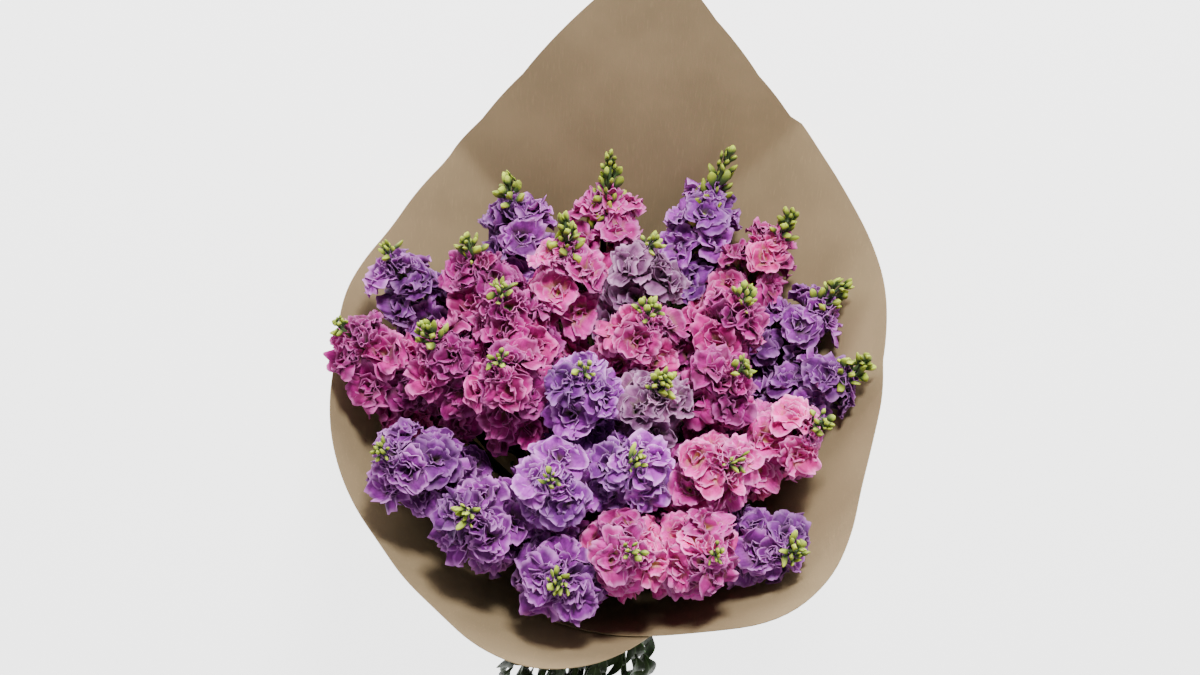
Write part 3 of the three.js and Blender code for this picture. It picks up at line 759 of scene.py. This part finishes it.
def petal_material(name, body, shadow, edge, heart, heart_share):
    """Soft petals: mottled, veined, pale at the ruffled edge, which is partly a painted highlight,
    darker towards the base by painted shade, and creamy at the heart.
    """
    material, tree, shader = new_material(name)
    body, shadow, edge, heart = (linear(*colour) for colour in (body, shadow, edge, heart))
    along, across = attribute(tree, "along"), attribute(tree, "across")
    ring, tint = attribute(tree, "ring"), attribute(tree, "tint")
    side = maths(tree, "ABSOLUTE", across)
    mottled = ramp(tree, noise(tree, MOTTLING, 4), 0.36, 0.6, 0.0, 0.7)
    colour = blended(tree, mottled, body, shadow)
    slant = times(tree, along, VEIN_SLANT)
    veins = maths(tree, "SINE", maths(tree, "MULTIPLY_ADD", across, VEINS, slant))
    veins = times(tree, ramp(tree, veins, 0.2, 1.0), ramp(tree, along, 0.95, 0.3, 0.0, 0.28))
    colour = blended(tree, veins, colour, shadow)
    # Pale rim: partly the petals' own paler edge, and partly a painted highlight along it.
    rim = maths(tree, "MAXIMUM", ramp(tree, along, 0.8, 1.0), ramp(tree, side, 0.74, 1.0, 0.0, 0.8))
    rim = times(tree, rim, ramp(tree, along, 0.3, 0.6, 0.0, 0.6))
    colour = blended(tree, rim, colour, edge)
    # Painted shade: each petal darkens towards its base, where it lies deep inside the floret.
    colour = blended(tree, ramp(tree, along, 0.72, 0.2, 0.0, 0.8), colour, shadow)
    centre = times(tree, ramp(tree, along, 0.66, 0.3), ramp(tree, ring, 0.95, 0.2, 0.5, 1.0))
    colour = blended(tree, times(tree, centre, heart_share), colour, heart)
    value = maths(tree, "MULTIPLY_ADD", tint, TINT_RANGE, LEAST_TINT)
    hue = maths(tree, "MULTIPLY_ADD", tint, HUE_RANGE, LEAST_HUE)
    varied = {"Hue": hue, "Value": value, "Color": colour}
    colour = node(tree, "ShaderNodeHueSaturation", varied).outputs[0]
    colour = blended(tree, attribute(tree, "calyx"), colour, CALYX)
    finished(tree, shader, colour, noise(tree, DOWN, 3), 0.35, 0.0006, {
        "Roughness": ramp(tree, noise(tree, GLOSS), 0.3, 0.7, 0.58, 0.72),
        "Specular IOR Level": 0.25, "Sheen Weight": 0.05, "Subsurface Weight": 0.08,
        "Subsurface Radius": (0.002, 0.001, 0.0015), "Subsurface Scale": 1.0})
    return material


# Stages of opening: a name, its rings, the seed of its first form, and how many forms it has.
STAGES = (("open", OPEN_RINGS, 0, 6), ("half", HALF_OPEN_RINGS, 40, 4),
          ("closed", CLOSED_RINGS, 60, 4))
SPIRAL_START = 6  # the most that a spike's spiral is turned, in radians
PETAL_LIMITS = 2.1, 0.66, 5.5  # how petals are confined: the gap, the soft share, the interlock


class BOUQUET_OT_florets(bpy.types.Operator):
    """Builds the double florets of every spike"""

    bl_idname = "bouquet.florets"
    bl_label = "Build florets"

    def execute(self, context):
        wanted = context.scene.bouquet_florets
        tree = spiral_tree()
        opened, half, closed = (
            variants(f"{title} florets", [
                floret_mesh(f"{title}_{seed}", first + seed, rings, wanted.petal)
                for seed in range(kinds)])
            for title, rings, first, kinds in STAGES
        )
        materials = {name: petal_material(f"petals {name}", *colours)
                     for name, colours in PETAL_COLOURS.items()}
        for index, (_, _, _, colour, bare) in enumerate(SPIKES):
            common = {"Start": SPIRAL_START * chance(index, 2), "Variation": 0.08,
                      "Material": materials[colour]}
            mesh = spiral_mesh(
                tree, common,
                (opened, wanted.count, index + 1, 15.0 + 0.9 * bare, wanted.step, 12.0, 20.5,
                 0.5, 1.3, 0.88 * wanted.radius, wanted.radius),
                (half, 6, 60 + index, 8.0 + bare, 2.2, 4.0, 10.0, 0.4, 0.95, 0.6, 1.0),
                (closed, 6, 90 + index, 4.0 + 0.8 * bare, 2.0, 2.5, 7.5, 0.3, 0.9, 0.6, 0.9))
            settle(mesh, index, index, PETAL_LIMITS)
            number = f"{index + 1:02d}"
            show(f"petals_{number}", mesh, materials[colour], f"petals_{colour}",
                 f"florets_{number}")
        return {"FINISHED"}


# ---------- stems, leaves and buds
BUD_PROFILE = ((-9, 0.7), (-5, 0.75), (-2, 1.0), (0, 2.0), (2.2, 2.7), (5, 2.8), (7.5, 2.2),
               (9.2, 1.2), (10.2, 0.3))  # height, radius
LEAVES, UPPER_LEAVES = 12, 4  # on a stem; the upper ones are inside the paper
UPPER_FROM, UPPER_STEP, FOOT_FROM, FOOT_STEP = 128, 15, -62, 17.5  # where they grow, from the top
OUTER_SLOPE, OUTWARD_TURN = 0.42, 1.1  # stems that slope more turn their lower leaves outward
LOWER_WIDTH = 1.12  # of the lower leaves, beside the upper ones
LOWER_LIMITS, UPPER_LIMITS, BUD_LIMITS = (3.0, 0.5, 2.0), (3.0, 0.5, -0.2), (2.1, 0.6, 3)


def green_material(leaf, bud):
    """Downy green: yellower at the bud tips, paler along the ribs."""
    material, tree, shader = new_material("stock greens")
    along, ring = attribute(tree, "along"), attribute(tree, "ring")
    across, tint = attribute(tree, "across"), attribute(tree, "tint")
    mottled = ramp(tree, noise(tree, 60, 4), 0.35, 0.68)
    colour = blended(tree, mottled, leaf, shade(leaf, 0.42))
    rib = ramp(tree, maths(tree, "ABSOLUTE", across), 0.16, 0.02)
    rib = times(tree, times(tree, rib, ring), 0.6)
    colour = blended(tree, rib, colour, shade(leaf, 1.7, 0.05))
    is_bud = ramp(tree, attribute(tree, "calyx"), 1.4, 1.6)
    tip = times(tree, ramp(tree, along, 0.45, 0.85), is_bud)
    colour = blended(tree, times(tree, tip, 0.9), colour, bud)
    value = maths(tree, "MULTIPLY_ADD", tint, 0.6, 0.6)
    colour = node(tree, "ShaderNodeHueSaturation", {"Value": value, "Color": colour}).outputs[0]
    finished(tree, shader, colour, noise(tree, 1400, 4), 0.4, 0.0005, {
        "Roughness": ramp(tree, noise(tree, 250), 0.3, 0.7, 0.5, 0.66),
        "Specular IOR Level": 0.3, "Sheen Weight": 0.04, "Subsurface Weight": 0.08,
        "Subsurface Radius": (0.0012, 0.002, 0.0008), "Subsurface Scale": 1.0})
    return material


def bud_mesh(name, seed):
    """A closed bud that points up: a stalk, and four sepals that meet in a point."""
    draw = np.random.default_rng(seed)
    shape = Shape()
    bow = draw.uniform(-0.8, 0.8, 2)
    heights, radii = np.array(BUD_PROFILE).T
    bend = (heights / 10) ** 2
    centres = np.stack([bow[0] * bend, bow[1] * bend, heights], -1)
    shape.tube(centres, radii, 12, calyx=BUD_MARK, lobes=0.2)
    return shape.mesh(name)


def leaf_grid(index, root, out, length, width, droop, draw):
    """A grid of points over a lance-shaped leaf, folded along its rib and arched."""
    rise = unit(stem_points(index, root[2] + 5) - stem_points(index, root[2] - 5))
    across = unit(np.cross(rise, out))
    share, side = np.meshgrid(np.linspace(0, 1, 13), np.linspace(-1, 1, 7), indexing="ij")
    belly = np.sin(math.pi * np.clip(share, 0, 0.97) ** 0.8) ** 0.8
    point = 1 - 0.82 * smooth((share - 0.75) / 0.25)
    half = width / 2 * (0.14 + 0.86 * belly) * point + 0.25
    lift = length * (share - 0.18 * share**2)
    arch = length * droop * np.sin(share * 2.2) + 1.5
    fold = 0.16 * width * np.abs(side) * smooth(share * 4)
    wave = 0.07 * width * np.sin(share * draw.uniform(7, 11) + draw.uniform(0, 6)) * side
    return (root + lift[..., None] * rise + (arch + fold + wave)[..., None] * out
            + (half * side)[..., None] * across)


def stem_and_leaves(index, tip, leaf_length, leaf_width):
    """One stem from its cut end to its tip, with its leaves."""
    draw = np.random.default_rng(200 + index)
    shape = Shape()
    cut = CUT_HEIGHT + CUT_SPREAD * (chance(index, 1) - 0.5)
    heights = np.concatenate([[cut, cut + 0.4], np.arange(cut + 10, tip - 6, 11), [tip]])
    radii = np.interp(heights, [cut, cut + 0.5, 100, tip - 30, tip], [2.1, 2.5, 2.4, 1.9, 1.0])
    shape.tube(stem_points(index, heights), radii, 10, calyx=0.0, lobes=0.05, lobe_count=5)
    foot = stem_at(index, FOOT_FROM)
    outward = math.atan2(foot[0], foot[1])
    is_outer = math.hypot(*SLOPES[index]) > OUTER_SLOPE
    for number in range(LEAVES):
        low = number >= UPPER_LEAVES
        height = UPPER_FROM - UPPER_STEP * number
        if low:
            height = FOOT_FROM - FOOT_STEP * (number - UPPER_LEAVES)
        height += draw.uniform(-5, 5)
        angle = number * GOLDEN + SPIRAL_START * chance(index, 5)
        if low and is_outer:
            angle = outward + draw.uniform(-OUTWARD_TURN, OUTWARD_TURN)
        out = np.array([math.sin(angle), math.cos(angle), 0])
        size = draw.uniform(0.8, 1.15)
        width = leaf_width * size * (LOWER_WIDTH if low else 1)
        grid = leaf_grid(index, stem_points(index, height), out, leaf_length * size, width,
                         draw.uniform(0.2, 0.42), draw)
        kept = confine(index, grid.reshape(-1, 3), *(LOWER_LIMITS if low else UPPER_LIMITS))
        shape.sheet(kept.reshape(grid.shape), 0.5)
    return shape.mesh("greens", lay)


class BOUQUET_OT_greens(bpy.types.Operator):
    """Builds the stems, their leaves and the buds at their tips"""

    bl_idname = "bouquet.greens"
    bl_label = "Build greens"

    def execute(self, context):
        wanted = context.scene.bouquet_greens
        material = green_material(tuple(wanted.leaf), tuple(wanted.bud))
        tree = spiral_tree()
        buds = variants("buds", [bud_mesh(f"bud_{seed}", 80 + seed) for seed in range(4)])
        for index, (_, _, tip, _, bare) in enumerate(SPIKES):
            mesh = stem_and_leaves(index, tip, wanted.leaf_length, wanted.leaf_width)
            common = {"Start": SPIRAL_START * chance(index, 2) + 1, "Variation": 0.32,
                      "Material": material}
            tips = spiral_mesh(
                tree, common,
                (buds, 8 + round(wanted.buds * bare / 8), 120 + index, -2.0, 0.6 + 0.045 * bare,
                 0.2, 4.4 + 0.2 * bare, 0.1, 1.0, 0.36, 0.47 + 0.02 * bare))
            settle(tips, index, 50 + index, BUD_LIMITS)
            number = f"{index + 1:02d}"
            show(f"greens_{number}", joined(mesh, tips), material, "greens", f"stem_{number}")
        return {"FINISHED"}


# ---------- the paper
SHEET_COLUMNS, SHEET_ROWS, ROW_SPREAD = 241, 76, 1.1
SKIRT_SLANT, SKIRT_TURN = 6, 40  # the skirt's edge is lower on one side of the neck
# The pleats ease off from the twine, and are deepest again at a distance from it.
PLEAT_REACH, TIE_EASE, NECK_DEPTH, PLEAT_ROUNDING = 26, 1.3, 2.6, 0.8
FACE_GAP = 0.35  # from the paper's inner radius to the middle of the sheet


def paper_material(paper):
    """Matte kraft-like paper: fine fibres, faint mottling."""
    material, tree, shader = new_material("wrapping paper")
    dark, pale = shade(paper, 0.8), shade(paper, 1.16)
    colour = blended(tree, ramp(tree, noise(tree, 14, 5), 0.3, 0.7), dark, paper)
    fibres = noise(tree, 700, 5, (1, 0.12, 0.3), 0.7)
    colour = blended(tree, ramp(tree, fibres, 0.5, 0.75, 0.0, 0.5), colour, pale)
    specks = noise(tree, 1500, 2, (1, 1, 1), 0.5)
    colour = blended(tree, ramp(tree, specks, 0.68, 0.8, 0.0, 0.35), colour, dark)
    finished(tree, shader, colour, fibres, 0.3, 0.0004, {
        "Roughness": ramp(tree, fibres, 0.3, 0.7, 0.72, 0.86), "Specular IOR Level": 0.3})
    return material


def pleat_height(height, turn, pleats):
    """How far the gathers lift the paper: narrow ridges, unevenly set round the neck."""
    from_tie = np.abs(height - TIE_HEIGHT) / PLEAT_REACH
    under_twine = GATHER * np.exp(-TIE_EASE * from_tie)
    depth = under_twine + NECK_DEPTH * from_tie * np.exp(1 - from_tie)
    phase = pleats * turn + 1.4 * np.sin(2 * turn + 1) + 0.9 * np.sin(5 * turn)
    return depth * (1 - np.abs(np.sin(phase / 2)) ** PLEAT_ROUNDING)


def lip_swell(height, turn):
    """A soft, uneven swelling of the cone, which grows up to its lip."""
    uneven = 0.9 + 0.6 * np.sin(3 * turn + 0.6) + 0.3 * np.sin(7 * turn + 2)
    return np.clip(height / LIP_HEIGHT, 0, 1) ** 2 * uneven


class BOUQUET_OT_wrap(bpy.types.Operator):
    """Builds the sheet of paper, rolled into a cone and gathered at the neck"""

    bl_idname = "bouquet.wrap"
    bl_label = "Build wrap"

    def execute(self, context):
        wanted = context.scene.bouquet_wrap
        angle = np.linspace(FIRST_ANGLE, LAST_ANGLE, SHEET_COLUMNS)[:, None]
        share = np.linspace(0, 1, SHEET_ROWS)[None, :]
        low = -SKIRT_HEIGHT - SKIRT_SLANT * np.cos(np.radians(angle + SKIRT_TURN))
        height = low + (paper_edge(angle) - low) * share**ROW_SPREAD
        turn = np.radians(angle)
        lifted = pleat_height(height, turn, wanted.pleats) + lip_swell(height, turn)
        radius = paper_radius(height, turn) + paper_layer(angle) + lifted + FACE_GAP
        y = np.minimum(radius * np.cos(turn), ground_at(height) - wanted.thickness / 2)
        grid = np.stack([radius * np.sin(turn), y, height], -1)
        shape = Shape()
        shape.sheet(grid[::-1], wanted.thickness)
        show("wrap_paper", shape.mesh("wrap", lay), paper_material(tuple(wanted.paper)),
             "wrap_paper", "wrap")
        return {"FINISHED"}


# ---------- the twine
STRANDS, SECTION_POINTS, STRAND_DEPTH = 3, 15, 0.15  # of the twine
PATH_POINTS = 96  # for each turn of the twine
RING_SPACING = 0.0011  # from one ring of the twine's surface to the next, in metres
STEP_DOWN = 12  # degrees over which the twine steps down from the left flap's edge
CREST_GAP = 0.3  # from the crests of the pleats, by which the sheet's thickness is allowed for


def twine_material(twine):
    """Natural jute: darker in patches of a fine, streaky fibre noise."""
    material, tree, shader = new_material("jute twine")
    fibres = noise(tree, 1800, 5, (1, 1, 0.4), 0.7)
    colour = blended(tree, ramp(tree, fibres, 0.35, 0.65), shade(twine, 0.5), twine)
    finished(tree, shader, colour, fibres, 0.6, 0.0006, {"Roughness": 0.85})
    return material


def rope_tree():
    """Geometry nodes that sweep a lobed section along a path and twist it into strands."""
    tree, given = group_tree("Twisted rope", Float=("Radius", "Lay Length", "Spacing"),
                             Material=("Material",))
    path = {"Curve": given["Geometry"], "Length": given["Spacing"]}
    even = node(tree, "GeometryNodeResampleCurve", path, mode="LENGTH").outputs[0]
    reached = node(tree, "GeometryNodeSplineParameter").outputs["Length"]
    laid = maths(tree, "DIVIDE", reached, given["Lay Length"])
    tilt = times(tree, laid, 2 * math.pi)
    twisted = node(tree, "GeometryNodeSetCurveTilt", {"Curve": even, "Tilt": tilt}).outputs[0]
    ring = node(tree, "GeometryNodeCurvePrimitiveCircle",
                {"Resolution": SECTION_POINTS, "Radius": given["Radius"]}).outputs[0]
    at = node(tree, "GeometryNodeInputPosition").outputs[0]
    index = node(tree, "GeometryNodeInputIndex").outputs[0]
    step = times(tree, index, 2 * math.pi * STRANDS / SECTION_POINTS)
    lobe = maths(tree, "MULTIPLY_ADD", maths(tree, "COSINE", step), STRAND_DEPTH, 1 - STRAND_DEPTH)
    lobed = vector_maths(tree, "SCALE", {0: at, "Scale": lobe})
    section = node(tree, "GeometryNodeSetPosition",
                   {"Geometry": ring, "Position": lobed}).outputs[0]
    swept = node(tree, "GeometryNodeCurveToMesh",
                 {"Curve": twisted, "Profile Curve": section, "Fill Caps": True}).outputs[0]
    real = node(tree, "GeometryNodeRealizeInstances", {0: swept}).outputs[0]
    painted = node(tree, "GeometryNodeSetMaterial",
                   {"Geometry": real, "Material": given["Material"]})
    node(tree, "NodeGroupOutput", {0: painted.outputs[0]})
    return tree


def twine_path(turns):
    """Points along the twine, wound over the crests of the pleats and the left flap."""
    angle = np.linspace(0, 2 * math.pi * turns, PATH_POINTS * turns)
    rise = (angle / (2 * math.pi) - turns / 2) * 2 * TWINE_RADIUS * (turns - 1) / turns
    bearing = (90 - np.degrees(angle) - FIRST_ANGLE) % 360 + FIRST_ANGLE
    to_flap = bearing - (FIRST_ANGLE + 360 - STEP_DOWN)
    flap = np.maximum(paper_layer(bearing), LAYER_OFFSET * smooth(to_flap / STEP_DOWN))
    radius = paper_radius(TIE_HEIGHT, 0) + GATHER + flap + CREST_GAP + TWINE_RADIUS
    return np.stack([radius * np.cos(angle), radius * np.sin(angle), TIE_HEIGHT + rise], -1)


class BOUQUET_OT_tie(bpy.types.Operator):
    """Builds the twine that is wound round the neck"""

    bl_idname = "bouquet.tie"
    bl_label = "Build tie"

    def execute(self, context):
        wanted = context.scene.bouquet_tie
        path = lay(twine_path(wanted.turns))
        curve = bpy.data.curves.new("twine path", "CURVE")
        curve.dimensions = "3D"
        spline = curve.splines.new("POLY")
        spline.points.add(len(path) - 1)
        spline.points.foreach_set("co", np.concatenate([path, np.ones((len(path), 1))], 1).ravel())
        material = twine_material(tuple(wanted.twine))
        mesh = plain_mesh(bpy.data.objects.new("twine path", curve), rope_tree(), [
            {"Radius": TWINE_RADIUS / 1000, "Lay Length": wanted.lay_length / 1000,
             "Spacing": RING_SPACING, "Material": material}])
        mesh.polygons.foreach_set("use_smooth", np.ones(len(mesh.polygons), bool))
        show("twine", mesh, material, "twine", "neck_tie")
        return {"FINISHED"}


# ---------- the stage
CAMERA_TURN, CAMERA_LIFT, CAMERA_DISTANCE = math.radians(4), math.radians(52), 1000
CAMERA_TARGET = np.array([5.0, 0, 230])
SENSOR_WIDTH, PICTURE_WIDTH, FOCAL_LENGTH = 36, 1200, 1680  # mm, and the last two in pixels
FLOOR_REACH, FLOOR_DROP, FLOOR_GLOW = 6, -0.0003, 3.0
LIGHT_CENTRE = np.array([0, 0, 200])
LIGHTS = (  # name, direction that it stands in, watts, size and distance in metres
    ("key", (-0.08, -1.0, 0.34), 47, 0.25, 1.6),
    ("fill", (0.5, 0.3, 1.0), 5.2, 1.0, 1.6),
    ("top", (-0.3, -0.3, 1.0), 4.0, 0.8, 1.6),
)
ROOM_COLOUR, ROOM_LIGHT = (0.97, 0.98, 1, 1), 0.2


class BOUQUET_OT_stage(bpy.types.Operator):
    """Builds the floor, the soft lights and the camera"""

    bl_idname = "bouquet.stage"
    bl_label = "Build stage"

    def execute(self, context):
        wanted = context.scene.bouquet_stage
        scene = context.scene
        back = np.array([0, -math.cos(CAMERA_LIFT), math.sin(CAMERA_LIFT)])
        right = np.array([1.0, 0, 0])
        rise = np.cross(back, right)
        across = right * math.cos(CAMERA_TURN) + rise * math.sin(CAMERA_TURN)
        upward = rise * math.cos(CAMERA_TURN) - right * math.sin(CAMERA_TURN)
        camera = bpy.data.objects.new("camera", bpy.data.cameras.new("camera"))
        camera.data.sensor_width = SENSOR_WIDTH
        camera.data.lens = SENSOR_WIDTH * FOCAL_LENGTH / PICTURE_WIDTH
        camera.data.clip_start, camera.data.clip_end = 0.05, 50
        axes = [turned(direction) for direction in (across, upward, back)]
        matrix = Matrix([list(row) for row in np.array(axes).T]).to_4x4()
        matrix.translation = Vector(lay(CAMERA_TARGET + CAMERA_DISTANCE * back))
        camera.matrix_world = matrix
        scene.collection.objects.link(camera)
        scene.camera = camera

        floor_mesh = bpy.data.meshes.new("floor")
        corners = [(x * FLOOR_REACH, y * FLOOR_REACH, FLOOR_DROP)
                   for x, y in ((-1, -1), (1, -1), (1, 1), (-1, 1))]
        floor_mesh.from_pydata(corners, [], [(0, 1, 2, 3)])
        floor = bpy.data.objects.new("floor", floor_mesh)
        material, tree, shader = new_material("floor")
        fill(tree, shader, {"Base Color": tuple(wanted.floor), "Roughness": 0.7,
                            "Emission Color": (1, 1, 1, 1), "Emission Strength": FLOOR_GLOW})
        floor_mesh.materials.append(material)
        scene.collection.objects.link(floor)

        middle = lay(LIGHT_CENTRE)
        for name, direction, power, size, distance in LIGHTS:
            lamp = bpy.data.lights.new(name, "AREA")
            lamp.energy = power * wanted.light
            lamp.size = size
            light = bpy.data.objects.new(name, lamp)
            ahead = Vector(direction).normalized()
            light.location = Vector(middle) + ahead * distance
            light.rotation_euler = ahead.to_track_quat("Z", "Y").to_euler()
            scene.collection.objects.link(light)
        world = bpy.data.worlds.new("soft room")
        world.use_nodes = True
        fill(world.node_tree, world.node_tree.nodes["Background"],
             {"Color": ROOM_COLOUR, "Strength": ROOM_LIGHT * wanted.light})
        scene.world = world
        return {"FINISHED"}


class BOUQUET_PT_panel(bpy.types.Panel):
    """Lists what the bouquet is built of"""

    bl_idname = "BOUQUET_PT_panel"
    bl_label = "Bouquet"
    bl_space_type = "VIEW_3D"
    bl_region_type = "UI"
    bl_category = "Bouquet"

    def draw(self, context):
        for group, operator in GROUPS.items():
            box = self.layout.box()
            values = getattr(context.scene, group)
            for name in values.__annotations__:
                box.prop(values, name)
            box.operator(operator.bl_idname)


GROUPS = {
    "bouquet_florets": BOUQUET_OT_florets,
    "bouquet_greens": BOUQUET_OT_greens,
    "bouquet_wrap": BOUQUET_OT_wrap,
    "bouquet_tie": BOUQUET_OT_tie,
    "bouquet_stage": BOUQUET_OT_stage,
}
VALUES = (BouquetFlorets, BouquetGreens, BouquetWrap, BouquetTie, BouquetStage)


def register():
    """Registers the settings, the operators and the panel."""
    for values, (group, operator) in zip(VALUES, GROUPS.items()):
        bpy.utils.register_class(values)
        bpy.utils.register_class(operator)
        setattr(bpy.types.Scene, group, PointerProperty(type=values))
    bpy.utils.register_class(BOUQUET_PT_panel)


def unregister():
    """Takes all of that out again."""
    bpy.utils.unregister_class(BOUQUET_PT_panel)
    for values, (group, operator) in zip(VALUES, GROUPS.items()):
        delattr(bpy.types.Scene, group)
        bpy.utils.unregister_class(operator)
        bpy.utils.unregister_class(values)


def main():
    """Builds the whole picture."""
    register()
    bpy.ops.bouquet.wrap()
    bpy.ops.bouquet.tie()
    bpy.ops.bouquet.greens()
    bpy.ops.bouquet.florets()
    bpy.ops.bouquet.stage()


if __name__ == "__main__":
    main()
